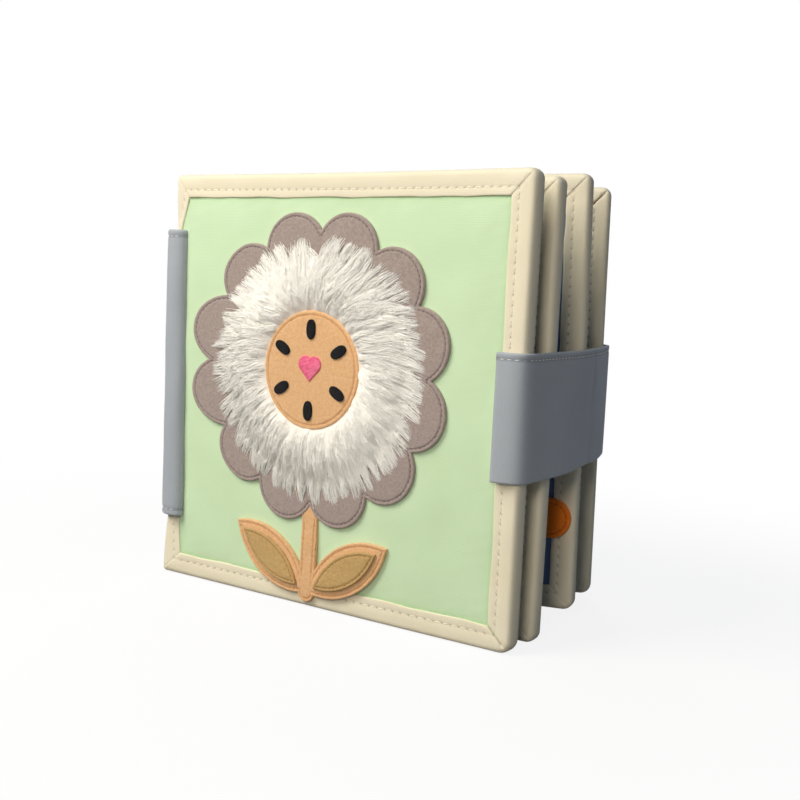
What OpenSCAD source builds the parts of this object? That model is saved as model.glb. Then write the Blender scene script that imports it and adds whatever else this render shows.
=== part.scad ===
// Cloth quiet book: two padded covers and two padded leaves, each edged with folded tape,
// held at the spine by a twill band and closed at the fore-edge by a twill strap.
// It stands on its bottom edges with its pages fanned apart, the front cover facing -Y.

/* [Pages] */
// Width of a page from its spine edge to its fore-edge
page_w = 200; // [160:1:240]
// Height of a page
page_h = 200; // [170:1:240]
// Thickness of a page over its edging tape
page_t = 9; // [8.5:0.1:12]
// Radius of a page's corners, seen from the front
corner_r = 5; // [4:0.5:10]
// Radius that the wadding gives a page's edge
edge_r = 3.5; // [2.5:0.1:3.8]
// Thickness of the cloth on each side of the wadding
panel_t = 1; // [0.6:0.1:1.4]

/* [Edging tape] */
// Width of the tape that shows on a page's face
tape_w = 11; // [9:0.5:14]
// Thickness of the folded tape
tape_t = 1; // [0.6:0.1:1.4]
// Width of the fold line at each mitred corner
mitre_w = 0.6; // [0.4:0.1:1]
// Depth of the fold line at each mitred corner
mitre_depth = 0.4; // [0.2:0.1:0.5]

/* [Fan] */
// Gap between two pages where they meet the spine
spine_gap = 1; // [0.8:0.1:3]
// Angle from the front cover to the first leaf
first_leaf_angle = 3.6; // [2:0.1:7]
// Angle from the front cover to the second leaf
second_leaf_angle = 13.2; // [10:0.1:17]
// Angle from the front cover to the back cover
back_cover_angle = 23; // [20:0.1:30]
// Height by which the second leaf is sewn above the other pages
second_leaf_lift = 1.2; // [0:0.1:3]
// Angle by which the second leaf climbs from its spine edge to its fore-edge
second_leaf_tilt = 1.1; // [0:0.1:1.2]
// Angle by which the back cover climbs in the same way, held up by the strap
back_cover_tilt = 0.7; // [0:0.1:0.9]

/* [Spine band] */
// Height of the band
band_h = 145; // [120:1:150]
// Thickness of the folded band
band_t = 2; // [1.2:0.1:3]
// Width of the band on each cover's outer face
band_flange = 10; // [6:0.5:16]
// Distance from the front cover's spine edge back to the inside of the band
band_reach = 4.8; // [4.6:0.1:7]
// Height of the tape that sews each leaf into the band
hinge_tape_h = 130; // [80:1:134]
// Thickness of that tape
hinge_tape_t = 1.6; // [0.8:0.1:1.8]

/* [Closure strap] */
// Height of the strap
strap_h = 54; // [40:1:70]
// Height of the strap's middle above the ground
strap_z = 99.5; // [70:0.5:110]
// Thickness of the folded strap
strap_t = 1.8; // [1:0.1:2.5]
// Width of the strap's end on the front cover
strap_tab = 12; // [11:0.5:24]
// Length of the strap that is sewn to the back cover
strap_tail = 60; // [40:1:90]
// Width of the hook and loop patches
patch_w = 8; // [6:0.5:8]
// Height of the hook and loop patches
patch_h = 44; // [30:1:50]
// Thickness of each patch
patch_t = 0.9; // [0.6:0.1:1.2]

/* [Flower] */
// Distance of the flower's middle from the page's middle, towards the spine
flower_shift = 7; // [-8:1:8]
// Gap between the petals and the tape at the top
petal_top_gap = 5; // [3:0.5:12]
// Least gap between the petals and the tape at the sides
petal_side_gap = 9; // [3:0.5:14]
// Least height of the petals above the page's bottom edge
petal_foot = 38; // [34:0.5:44]
// Thickness of the felt
felt_t = 2; // [1.5:0.1:3]
// Number of petals
petal_count = 12; // [9:1:14]
// Radius of one petal's round end
petal_r = 17; // [16:0.5:18]
// Radius of the fur disc
fur_r = 52; // [44:1:55]
// Height of the fur's pile over the petals
fur_h = 8; // [4.5:0.5:11]
// Radius of the felt disc at the flower's middle
centre_r = 27; // [24:1:32]
// Thickness of the padded felt disc
centre_t = 4; // [2:0.5:4]
// Number of seeds
seed_count = 6; // [5:1:8]
// Distance of the seeds from the flower's middle
seed_ring_r = 18.5; // [17:0.5:20]
// Length of a seed
seed_l = 9; // [6:0.5:10]
// Width of a seed
seed_w = 5; // [3:0.5:5.5]
// Thickness of the seeds
seed_t = 1; // [0.6:0.1:1.5]
// Side of the square between the heart's two round lobes
heart_s = 7.5; // [5:0.5:8]
// Thickness of the satin-stitched heart
heart_t = 0.8; // [0.4:0.1:1.2]

/* [Stem and leaves] */
// Width of the stem
stem_w = 9; // [6:0.5:12]
// Height of the stem's foot above the page's bottom edge
stem_foot = 3; // [2:0.5:8]
// Length of a felt leaf
leaf_l = 52; // [40:1:58]
// Radius of the two arcs that bound a felt leaf
leaf_arc_r = 36; // [30:1:45]
// Angle of a felt leaf from upright
leaf_angle = 58; // [50:1:62]
// Thickness of the inlay on a felt leaf
inlay_t = 1.4; // [0.8:0.1:2]
// Margin from a felt leaf's edge to its inlay
inlay_margin = 4; // [3:0.5:5]

/* [Felt tab on the second leaf] */
// Length of the tab
tab_l = 30; // [20:1:40]
// Height of the tab
tab_h = 15; // [10:0.5:20]
// Height of the tab's middle above the leaf's bottom edge
tab_z = 43; // [30:1:55]
// Distance of the tab's round end from the fore-edge
tab_inset = 2; // [0:0.5:5]

/* [Hidden] */
$fn = 64;

// Gap between cloth pieces that move against each other
cloth_gap = 0.3;
// Gap between a page's filling and the inside of its edging tape
fill_gap = 0.2;
// Length by which a cutting tool runs past what it cuts
overrun = 1;

FRONT = 0;
FIRST = 1;
SECOND = 2;
BACK = 3;
page_angle = [0, first_leaf_angle, second_leaf_angle, back_cover_angle];
page_lift = [0, 0, second_leaf_lift, 0];
page_tilt = [0, 0, second_leaf_tilt, back_cover_tilt];
page_pitch = page_t + spine_gap;
strap_low = strap_z - strap_h / 2;

// Point of a page's own plan, x from its spine edge and y from its front face, in the book's plan
function page_point(page, x, y) = [
    x * cos(page_angle[page]) - y * sin(page_angle[page]),
    page * page_pitch + x * sin(page_angle[page]) + y * cos(page_angle[page])
];

// Centres of the rounding along the front and the back face of a page
front_depth = edge_r;
back_depth = page_t - edge_r;
fore_x = page_w - edge_r;

// The cloth wraps run along a chain of round corners, seen from above, always turning left.
// Direction from one centre to the next
function heading(from, to) = atan2(to[1] - from[1], to[0] - from[0]);
// Left turn from one heading to the next, from 0 to 360 degrees
function turn(a, b) = (b - a + 720) % 360;
// Points of one side of the wrap at a distance r outside the chain of centres
function wrap_side(c, r, steps = 6) = let (last = len(c) - 1) concat(
    [c[0] + r * [cos(heading(c[0], c[1]) - 90), sin(heading(c[0], c[1]) - 90)]],
    [for (i = [1 : last - 1])
        let (a = heading(c[i - 1], c[i]), b = turn(a, heading(c[i], c[i + 1])))
        for (j = [0 : steps]) c[i] + r * [cos(a - 90 + b * j / steps), sin(a - 90 + b * j / steps)]],
    [c[last] + r * [cos(heading(c[last - 1], c[last]) - 90),
        sin(heading(c[last - 1], c[last]) - 90)]]
);
function reversed(points) = [for (i = [len(points) - 1 : -1 : 0]) points[i]];

// Strap: from its end on the front cover, round every fore-edge, to its end on the back cover
patch_stack = 2 * patch_t;
wrap_r = edge_r + cloth_gap;
strap_chain = [
    [page_w - strap_tab, edge_r - patch_stack],
    [fore_x, edge_r - patch_stack],
    page_point(FRONT, fore_x, back_depth),
    page_point(FIRST, fore_x, front_depth),
    page_point(FIRST, fore_x, back_depth),
    page_point(SECOND, fore_x, front_depth),
    page_point(SECOND, fore_x, back_depth),
    page_point(BACK, fore_x, front_depth),
    page_point(BACK, fore_x, back_depth),
    page_point(BACK, page_w - strap_tail, back_depth)
];

// Band: from the back cover's outer face, round the spine, to the front cover's outer face
band_x = wrap_r - band_reach;
band_back_end = page_point(BACK, band_flange, back_depth);
band_chain = [
    band_back_end,
    [band_x, band_back_end[1] - (band_back_end[0] - band_x) * tan(back_cover_angle)],
    [band_x, edge_r],
    [band_flange, edge_r]
];

// The book's origin is the middle of its footprint
window_face = tape_t;
felt_face = window_face - felt_t;
fur_face = felt_face - fur_h;
book_x_low = -band_reach - band_t;
book_x_high = page_w + cloth_gap + strap_t;
book_y_high = page_point(BACK, fore_x, back_depth)[1] + wrap_r + strap_t;
origin_x = (book_x_low + book_x_high) / 2;
origin_y = (fur_face + book_y_high) / 2;

ecru = "#EFE3CC";
green = "#CDEBB4";
navy = "#26365E";
slate = "#56606C";
brick = "#8C4A38";
twill_blue = "#8E9BB0";
wadding_white = "#F4F2EC";
felt_grey = "#9C8C88";
fur_white = "#F8F4EA";
felt_peach = "#EDBB86";
felt_caramel = "#CDA868";
felt_black = "#1C1B1C";
felt_orange = "#E07A1C";
satin_pink = "#F0507C";

// Moves a shape from a page's own frame, front face on y = 0, to the page's place in the book.
// A page tilts about its spine edge at the height of the strap's lower edge, so that no part of
// its fore-edge that the strap covers comes nearer to it.
module place(page) {
    translate([-origin_x, page * page_pitch - origin_y, strap_low])
        rotate([0, -page_tilt[page], page_angle[page]])
            translate([0, 0, page_lift[page] - strap_low])
                children();
}

// Stands a plan shape up on a page: its x along the page, its y upwards, its depth from y1 to y2
module on_page(y1, y2) {
    translate([0, y2, 0])
        rotate([90, 0, 0])
            linear_extrude(y2 - y1)
                children();
}

// Rectangle with its low corner at the origin and all corners rounded
module round_rect(w, h, r) {
    translate([r, 0])
        square([w - 2 * r, h]);
    translate([0, r])
        square([w, h - 2 * r]);
    for (x = [r, w - r], y = [r, h - r])
        translate([x, y])
            circle(r);
}

// Body of a page with soft edges and round corners, made of two bars and four knuckles.
// It is smaller than the page by inset all round its plan, and lies deeper by sink on both faces.
module soft_body(inset, sink) {
    w = page_w - 2 * inset;
    h = page_h - 2 * inset;
    t = page_t - 2 * sink;
    knuckle_r = corner_r - inset;
    round_r = edge_r - sink;
    translate([inset, sink, inset]) {
        translate([0, 0, knuckle_r])
            linear_extrude(h - 2 * knuckle_r)
                round_rect(w, t, round_r);
        translate([knuckle_r, 0, 0])
            rotate([90, 0, 90])
                linear_extrude(w - 2 * knuckle_r)
                    translate([t, 0])
                        rotate(90)
                            round_rect(h, t, round_r);
        for (x = [knuckle_r, w - knuckle_r], z = [knuckle_r, h - knuckle_r])
            translate([x, 0, z])
                rotate([-90, 0, 0])
                    rotate_extrude()
                        intersection() {
                            translate([-knuckle_r, 0])
                                round_rect(2 * knuckle_r, t, round_r);
                            square([knuckle_r, t]);
                        }
    }
}

// One layer of a page's filling, between two depths, inside the edging tape
module filling(y1, y2) {
    intersection() {
        soft_body(tape_t + fill_gap, tape_t);
        translate([0, y1, 0])
            cube([page_w, y2 - y1, page_h]);
    }
}

// Fold lines from the window's corners out to the page's corners, on one face
module mitres(y) {
    run = tape_w * sqrt(2);
    for (x = [0, 1], z = [0, 1])
        translate([x * page_w, y, z * page_h])
            mirror([x, 0, 0])
                mirror([0, 0, z])
                    rotate([0, -45, 0])
                        translate([edge_r, -mitre_depth, -mitre_w / 2])
                            cube([run - edge_r, 2 * mitre_depth, mitre_w]);
}

// Folded edging tape: the soft edge of the page, hollow for the filling and open over the panels
module binding(page) {
    window_w = page_w - 2 * tape_w;
    window_h = page_h - 2 * tape_w;
    color(ecru)
        place(page)
            difference() {
                soft_body(0, 0);
                soft_body(tape_t, tape_t);
                translate([tape_w, -overrun, tape_w])
                    cube([window_w, page_t + 2 * overrun, window_h]);
                mitres(0);
                mitres(page_t);
            }
}

// Wadding between a page's two panels
module padding(page) {
    color(wadding_white)
        place(page)
            filling(tape_t + panel_t, page_t - tape_t - panel_t);
}

module front_panel(page, tone) {
    color(tone)
        place(page)
            filling(tape_t, tape_t + panel_t);
}

module back_panel(page, tone) {
    color(tone)
        place(page)
            filling(page_t - tape_t - panel_t, page_t - tape_t);
}

// Folded cloth of even thickness along a chain of round corners, standing upright. Both its ends
// are folded edges, so they are round.
module cloth_wrap(chain, thickness, height, z) {
    middle = wrap_side(chain, wrap_r + thickness / 2);
    translate([-origin_x, -origin_y, z])
        linear_extrude(height) {
            polygon(concat(
                wrap_side(chain, wrap_r + thickness),
                reversed(wrap_side(chain, wrap_r))
            ));
            for (end = [middle[0], middle[len(middle) - 1]])
                translate(end)
                    circle(thickness / 2);
        }
}

module spine_band() {
    color(twill_blue)
        cloth_wrap(band_chain, band_t, band_h, (page_h - band_h) / 2);
}

// Short tape from a leaf's spine edge to the inside of the band
module hinge_tape(page) {
    color(ecru)
        intersection() {
            place(page)
                translate([-page_w, (page_t - hinge_tape_t) / 2, (page_h - hinge_tape_h) / 2])
                    cube([page_w, hinge_tape_t, hinge_tape_h]);
            translate([-origin_x - band_reach, -origin_y - page_h, 0])
                cube([page_w, 3 * page_h, 2 * page_h]);
        }
}

module closure_strap() {
    color(twill_blue)
        cloth_wrap(strap_chain, strap_t, strap_h, strap_low);
}

// Hook tape and loop tape face each other under the strap's end, a cloth gap apart
patch_x = fore_x - patch_w;
module patch(y1, y2) {
    color(wadding_white)
        place(FRONT)
            translate([patch_x, y1, strap_z - patch_h / 2])
                cube([patch_w, y2 - y1, patch_h]);
}

module cover_loop_patch() {
    patch(-patch_t, 0);
}

module strap_hook_patch() {
    patch(-patch_stack - cloth_gap, -patch_t - cloth_gap);
}

// The petals fill the cover's window between their gaps to the tape and the room for the leaves
petals_r = min(
    (page_h - tape_w - petal_top_gap - petal_foot) / 2,
    page_w / 2 - tape_w - petal_side_gap - abs(flower_shift)
);
petal_ring_r = petals_r - petal_r;
flower_x = page_w / 2 - flower_shift;
flower_z = page_h - tape_w - petal_top_gap - petals_r;

// The flower's pieces are drawn about its middle and placed on the front cover
module at_flower() {
    translate([flower_x, flower_z])
        children();
}

module petals_plan() {
    circle(petal_ring_r);
    for (i = [0 : petal_count - 1])
        rotate(360 * (i + 0.5) / petal_count)
            translate([petal_ring_r, 0])
                circle(petal_r);
}

module flower_petals() {
    color(felt_grey)
        place(FRONT)
            on_page(felt_face, window_face)
                at_flower()
                    petals_plan();
}

// Fur disc with an open middle: its pile rises from both rims to a crown nearer the outside
module flower_fur() {
    inner_r = centre_r + cloth_gap;
    steps = 10;
    crown = [for (i = [0 : steps])
        let (u = i / steps)
        [inner_r + (fur_r - inner_r) * u, fur_h * (0.4 + 0.6 * sin(180 * pow(u, 0.8))) * (1 - pow(u, 6) / 2)]];
    color(fur_white)
        place(FRONT)
            translate([flower_x, felt_face, flower_z])
                rotate([90, 0, 0])
                    rotate_extrude()
                        polygon(concat([[inner_r, 0]], crown, [[fur_r, 0]]));
}

module flower_centre() {
    color(felt_peach)
        place(FRONT)
            on_page(felt_face - centre_t, felt_face)
                at_flower()
                    circle(centre_r);
}

// Oval with straight flanks
module seed_plan() {
    straight = (seed_l - seed_w) / 2;
    for (x = [-straight, straight])
        translate([x, 0])
            circle(seed_w / 2);
    translate([-straight, -seed_w / 2])
        square([2 * straight, seed_w]);
}

module flower_seeds() {
    top = felt_face - centre_t;
    color(felt_black)
        place(FRONT)
            on_page(top - seed_t, top)
                at_flower()
                    for (i = [0 : seed_count - 1])
                        rotate(360 * i / seed_count + 30)
                            translate([seed_ring_r, 0])
                                seed_plan();
}

module flower_heart() {
    top = felt_face - centre_t;
    color(satin_pink)
        place(FRONT)
            on_page(top - heart_t, top)
                at_flower()
                    translate([0, -heart_s * 0.7])
                        rotate(45) {
                            square(heart_s);
                            translate([heart_s / 2, heart_s])
                                circle(heart_s / 2);
                            translate([heart_s, heart_s / 2])
                                circle(heart_s / 2);
                        }
}

module stem_plan() {
    translate([flower_x - stem_w / 2, stem_foot + stem_w / 2])
        square([stem_w, flower_z - stem_foot]);
    translate([flower_x, stem_foot + stem_w / 2])
        circle(stem_w / 2);
}

// Felt leaf between two arcs, pointed at both ends, smaller by a margin where asked
module leaf_plan(side, margin = 0) {
    half = leaf_l / 2;
    offset_x = sqrt(pow(leaf_arc_r, 2) - pow(half, 2));
    translate([flower_x, stem_foot + stem_w / 2])
        rotate(side * leaf_angle)
            translate([0, half])
                intersection() {
                    translate([offset_x, 0])
                        circle(leaf_arc_r - margin);
                    translate([-offset_x, 0])
                        circle(leaf_arc_r - margin);
                }
}

// Felt that lies on the panel and runs out over the edging tape at the foot of the cover
module felt_over_tape() {
    difference() {
        on_page(-felt_t, window_face)
            children();
        translate([0, 0, -overrun])
            cube([page_w, page_t, tape_w + overrun]);
    }
}

module flower_stem() {
    color(felt_peach)
        place(FRONT)
            felt_over_tape()
                difference() {
                    stem_plan();
                    at_flower()
                        petals_plan();
                }
}

module flower_leaves() {
    color(felt_peach)
        place(FRONT)
            felt_over_tape()
                difference() {
                    for (side = [-1, 1])
                        leaf_plan(side);
                    stem_plan();
                    at_flower()
                        petals_plan();
                }
}

module flower_leaf_inlays() {
    color(felt_caramel)
        place(FRONT)
            on_page(-felt_t - inlay_t, -felt_t)
                difference() {
                    for (side = [-1, 1])
                        leaf_plan(side, inlay_margin);
                    stem_plan();
                }
}

// Orange felt tab that lies over the second leaf's tape and reaches its fore-edge
module felt_tab() {
    round_r = tab_h / 2;
    color(felt_orange)
        place(SECOND)
            on_page(-felt_t, 0)
                translate([page_w - tab_inset - tab_l, tab_z - round_r]) {
                    square([tab_l - round_r, tab_h]);
                    translate([tab_l - round_r, round_r])
                        circle(round_r);
                }
}

padding(FRONT);  // front_cover_padding
front_panel(FRONT, green);  // front_cover_panel
back_panel(FRONT, slate);  // front_cover_lining
binding(FRONT);  // front_cover_binding
padding(FIRST);  // first_leaf_padding
front_panel(FIRST, slate);  // first_leaf_front_panel
back_panel(FIRST, slate);  // first_leaf_back_panel
binding(FIRST);  // first_leaf_binding
padding(SECOND);  // second_leaf_padding
front_panel(SECOND, navy);  // second_leaf_front_panel
back_panel(SECOND, slate);  // second_leaf_back_panel
binding(SECOND);  // second_leaf_binding
padding(BACK);  // back_cover_padding
front_panel(BACK, brick);  // back_cover_lining
back_panel(BACK, green);  // back_cover_panel
binding(BACK);  // back_cover_binding
spine_band();
hinge_tape(FIRST);  // first_leaf_hinge_tape
hinge_tape(SECOND);  // second_leaf_hinge_tape
closure_strap();
strap_hook_patch();
cover_loop_patch();
flower_petals();
flower_fur();
flower_centre();
flower_seeds();
flower_heart();
flower_stem();
flower_leaves();
flower_leaf_inlays();
felt_tab();
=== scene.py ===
# Cloth quiet book: four padded pages edged with folded tape, a twill band round the spine, a
# twill strap round the fore-edge and a felt flower on the front cover. Lengths are millimetres in
# the book's own frame until skin() puts them into a mesh: x runs from the front cover's spine
# edge, y from its front face towards the back cover, and z up from the ground.
import math

import bpy
import numpy as np
from mathutils import Matrix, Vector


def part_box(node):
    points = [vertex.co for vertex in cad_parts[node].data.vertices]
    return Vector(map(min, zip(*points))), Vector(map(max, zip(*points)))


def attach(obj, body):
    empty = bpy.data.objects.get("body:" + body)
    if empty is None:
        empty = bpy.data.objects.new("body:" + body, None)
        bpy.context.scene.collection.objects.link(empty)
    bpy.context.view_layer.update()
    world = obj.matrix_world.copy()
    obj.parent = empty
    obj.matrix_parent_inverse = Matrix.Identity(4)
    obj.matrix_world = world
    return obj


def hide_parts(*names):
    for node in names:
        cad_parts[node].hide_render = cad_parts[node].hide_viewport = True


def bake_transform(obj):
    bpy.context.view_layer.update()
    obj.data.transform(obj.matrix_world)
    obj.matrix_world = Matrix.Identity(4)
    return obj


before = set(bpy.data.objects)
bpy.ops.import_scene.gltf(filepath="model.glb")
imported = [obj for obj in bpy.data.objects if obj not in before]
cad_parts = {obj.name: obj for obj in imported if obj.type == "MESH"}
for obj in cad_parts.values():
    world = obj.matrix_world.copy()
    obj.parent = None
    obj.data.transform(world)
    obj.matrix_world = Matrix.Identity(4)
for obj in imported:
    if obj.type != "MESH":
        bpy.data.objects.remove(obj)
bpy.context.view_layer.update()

# View
# The book is seen from its fore-edge side and a little above, through a lens that takes in about
# 37 degrees. The picture is rolled by under three degrees.
MM = 0.001
CAMERA_AT_M = (0.33495, -0.48352, 0.156)
CAMERA_YAW, CAMERA_PITCH, CAMERA_ROLL = np.radians([34.34, 5.97, -2.78])
LENS_MM = 54.07
forward = np.array([-math.sin(CAMERA_YAW) * math.cos(CAMERA_PITCH),
                    math.cos(CAMERA_YAW) * math.cos(CAMERA_PITCH), -math.sin(CAMERA_PITCH)])
level = np.array([math.cos(CAMERA_YAW), math.sin(CAMERA_YAW), 0.0])
down = np.cross(forward, level)
camera_right = math.cos(CAMERA_ROLL) * level + math.sin(CAMERA_ROLL) * down
camera_up = math.sin(CAMERA_ROLL) * level - math.cos(CAMERA_ROLL) * down
camera = bpy.data.objects.new("camera", bpy.data.cameras.new("camera"))
camera_place = np.eye(4)
camera_place[:3] = np.stack([camera_right, camera_up, -forward, CAMERA_AT_M], 1)
camera.matrix_world = Matrix(camera_place.tolist())
camera.data.lens = LENS_MM
camera.data.sensor_width = 36
camera.data.clip_end = 50
bpy.context.scene.collection.objects.link(camera)
bpy.context.scene.camera = camera

# Page pads
# Each page is a sheet of wadding between two panels of dyed cotton, sewn flat at the edges by the
# tape's seam and plump in the middle. The pages are sewn together at the spine and fan apart.
book_corner = np.array(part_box("front_cover_binding")[0])
book_corner[2] = 0.0
PAGE_W = 200.0
PAGE_H = 200.0
PAGE_T = 9.0
PAGE_PITCH = 10.0
PAGES = ["front_cover", "first_leaf", "second_leaf", "back_cover"]
PAGE_BODY = ["front_cover", "page_block", "page_block", "back_cover"]
PAGE_ANGLE = np.radians([0.0, 3.6, 13.2, 23.0])
PAGE_LIFT = [0.0, 0.0, 1.2, 0.0]
PAGE_TILT = np.radians([0.0, 0.0, 1.1, 0.7])
STRAP_LOW = 72.5
TAPE_W = 11.0
TAPE_T = 1.0
PAD_INSET = 4.0
PAD_EDGE = 0.7
PAD_PUFF = 0.55
BAND_LOW = 30.5
BAND_HIGH = 172.5
CURL_REACH = 15.0
CURL_DEPTH = 3.2
EDGE_SLIDE = 1.3
FACE_SLIDE = 4.3
CORNER_FLARE = 3.4


def smooth(a, b, x):
    """Smooth step: 0 below a, 1 above b, and 3t^2 - 2t^3 between."""
    t = np.clip((np.asarray(x, float) - a) / (b - a), 0, 1)
    return t * t * (3 - 2 * t)


def bell(x, width):
    """Gaussian bell, 1 at 0 and 1/e at width."""
    return np.exp(-((x / width) ** 2))


def unit(v):
    """Vectors of length 1 in the directions of v."""
    return v / np.linalg.norm(v, axis=-1, keepdims=True)


def length_along(line):
    """Length along a line of points, from its start to each of them."""
    return np.append(0, np.cumsum(np.linalg.norm(np.diff(line, axis=0), axis=1)))


def unevenness(a, b, seed, longest, height, waves=7):
    """Soft unevenness of hand-made cloth: a sum of sine waves in seeded directions over two
    coordinates, with lengths from a third of longest up to longest, and about that height."""
    draw = np.random.default_rng(seed)
    length = draw.uniform(longest / 3, longest, waves)
    turn = draw.uniform(0, 2 * math.pi, waves)
    phase = draw.uniform(0, 7, waves)
    total = 0.0
    for k in range(waves):
        along = a * math.cos(turn[k]) + b * math.sin(turn[k])
        total = total + np.sin(2 * math.pi * along / length[k] + phase[k])
    return height * total / math.sqrt(waves)


def in_plan(page, x, y):
    """Plan points of a page, turned by its angle about its front spine corner and moved to its
    place in the book."""
    c, s = math.cos(PAGE_ANGLE[page]), math.sin(PAGE_ANGLE[page])
    return np.stack([x * c - y * s, page * PAGE_PITCH + x * s + y * c], -1)


def in_book(page, x, y, z):
    """Points of a page's own frame where the page stands. It is tilted in its own plane about its
    spine edge, at the height of the strap's lower edge, and then turned as in_plan does."""
    x, y, z = np.broadcast_arrays(x, y, z)
    c, s = math.cos(PAGE_TILT[page]), math.sin(PAGE_TILT[page])
    up = z + PAGE_LIFT[page] - STRAP_LOW
    plan = in_plan(page, x * c - up * s, y)
    return np.concatenate([plan, (STRAP_LOW + x * s + up * c)[..., None]], -1)


def band_pull(z):
    """Share of the spine band's pull at height z: 1 behind the band, fading out to the corners."""
    return smooth(BAND_LOW - 23, BAND_LOW + 21, z) * (1 - smooth(BAND_HIGH - 2, BAND_HIGH + 20, z))


def lay(page, x, y, z):
    """Points on a page as it stands. The band pulls the front cover's spine edge back: its face
    slides towards the spine, and sinks by a square law within the reach, and its lining stays. The
    corner below the band flares out. The top edge rises a little towards the fore-edge. Every page
    also leans by a slow wave over its whole face."""
    x, y, z = np.broadcast_arrays(np.asarray(x, float), y, z)
    lean = unevenness(x, z, seed=30 + page, longest=420.0, height=0.5, waves=3)
    if page == 0:
        front = np.clip(1 - y / PAGE_T, 0, 1.1)
        slide = band_pull(z) * (EDGE_SLIDE + FACE_SLIDE * smooth(0, TAPE_W, x)) + 1.5 * smooth(0, TAPE_W, x)
        slide = slide * front * (1 - smooth(TAPE_W, 45, x))
        slide = slide + CORNER_FLARE * bell(z, 38) * (1 - smooth(0, 15, x))
        sink = CURL_DEPTH * band_pull(z) * front * np.clip(1 - x / CURL_REACH, 0, 1) ** 2
        rise = (2.0 * (x / PAGE_W) ** 2 - 0.6) * (z / PAGE_H) ** 2
        return in_book(page, x - slide, y + sink + lean, z + rise)
    return in_book(page, x, y + lean, z)


def as_object(name, points, faces, material, rounded=True):
    """Object in the scene over points of the book's own frame, smooth shaded where rounded."""
    mesh = bpy.data.meshes.new(name)
    mesh.from_pydata((points * MM + book_corner).tolist(), [], faces)
    mesh.polygons.foreach_set("use_smooth", np.full(len(mesh.polygons), rounded))
    mesh.update()
    mesh.materials.append(material)
    made = bpy.data.objects.new(name, mesh)
    bpy.context.scene.collection.objects.link(made)
    return made


def tube_walls(rings, around):
    """Quads of a tube, as point numbers, between rings that close on themselves."""
    i, j = np.meshgrid(np.arange(rings - 1), np.arange(around), indexing="ij")
    i, j = i.ravel()[:, None], j.ravel()[:, None]
    return (i + [0, 1, 1, 0]) * around + (j + [0, 0, 1, 1]) % around


def skin(name, rings, material, joined=False, uv=None, marks=None):
    """Closed mesh over rings of points: rings[i, j] is point j of ring i, and every ring closes on
    itself. joined bridges the last ring to the first, as on a frame. Otherwise a fan from the
    mean point closes each end. uv is (one length per ring, one per column), each with one more
    value than there are rings or columns, in metres. marks is {attribute name: value per point}."""
    rings = np.asarray(rings, float)
    n, m = rings.shape[:2]
    points = rings.reshape(-1, 3)
    i, j = np.meshgrid(np.arange(n if joined else n - 1), np.arange(m), indexing="ij")
    row = i.ravel()[:, None] + [0, 1, 1, 0]
    column = j.ravel()[:, None] + [0, 0, 1, 1]
    quads = (row % n) * m + column % m
    fans = np.zeros((0, 3), int)
    if not joined:
        points = np.concatenate([points, rings[:1].mean(1), rings[-1:].mean(1)])
        j = np.arange(m)
        after = (j + 1) % m
        first = np.stack([np.full(m, n * m), j, after], 1)
        last = np.stack([np.full(m, n * m + 1), (n - 1) * m + after, (n - 1) * m + j], 1)
        fans = np.concatenate([first, last])
    halves = np.concatenate([quads[:, [0, 1, 2]], quads[:, [0, 2, 3]], fans])
    a, b, c = (points[halves[:, k]] for k in range(3))
    inside_out = (a * np.cross(b, c)).sum() < 0
    if inside_out:
        quads, fans, row, column = quads[:, ::-1], fans[:, ::-1], row[:, ::-1], column[:, ::-1]
    piece = as_object(name, points, quads.tolist() + fans.tolist(), material)
    mesh = piece.data
    if uv is not None:
        flat = np.stack([np.asarray(uv[0])[row], np.asarray(uv[1])[column]], -1).ravel()
        whole = np.zeros(len(mesh.loops) * 2)
        whole[: len(flat)] = flat
        mesh.uv_layers.new(name="UVMap").data.foreach_set("uv", whole)
    # Each mark is a share of painted shade for the material: in grooves, creases, needle holes and slits,
    # under the tape's lip, and between the fur's locks.
    for painted_shade_mark, value in (marks or {}).items():
        whole = np.zeros(len(mesh.vertices))
        whole[: n * m] = np.broadcast_to(value, (n, m)).ravel()
        mesh.attributes.new(painted_shade_mark, "FLOAT", "POINT").data.foreach_set("value", whole)
    return piece


def linear(code):
    """Linear RGBA of an sRGB hex colour."""
    value = np.array([int(code[k : k + 2], 16) for k in (1, 3, 5)]) / 255
    value = np.where(value <= 0.04045, value / 12.92, ((value + 0.055) / 1.055) ** 2.4)
    return (*value.tolist(), 1.0)


def node(tree, kind, links=(), **settings):
    """Adds a node. settings sets its own values, or its inputs where a name starts with in_,
    and links is [(output that gives, name or number of the input that takes)]."""
    made = tree.nodes.new(kind)
    for name, value in settings.items():
        if name.startswith("in_"):
            key = name[3:].replace("_", " ")
            made.inputs[int(key) if key.isdigit() else key].default_value = value
        else:
            setattr(made, name, value)
    for source, target in links:
        tree.links.new(source, made.inputs[target])
    return made


def cloth(name, roughness, sheen, specular=0.25):
    """Matt cloth material: its tree and its shader, whose base colour and normal come later."""
    material = bpy.data.materials.new(name)
    material.use_nodes = True
    shader = material.node_tree.nodes["Principled BSDF"]
    shader.inputs["Roughness"].default_value = roughness
    shader.inputs["Specular IOR Level"].default_value = specular
    shader.inputs["Sheen Weight"].default_value = sheen
    shader.inputs["Sheen Roughness"].default_value = 0.5
    return material, material.node_tree, shader


def dress(names, material):
    """Puts a material on solids of the part that are shown as they are."""
    for name in names:
        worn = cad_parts[name].data.materials
        worn.clear()
        worn.append(material)


def roughen(tree, shader, height, strength, depth_m):
    """Bumps a shader's surface by a height from 0 to 1."""
    bump = node(tree, "ShaderNodeBump", [(height, "Height")], in_Strength=strength, in_Distance=depth_m)
    tree.links.new(bump.outputs[0], shader.inputs["Normal"])


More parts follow.
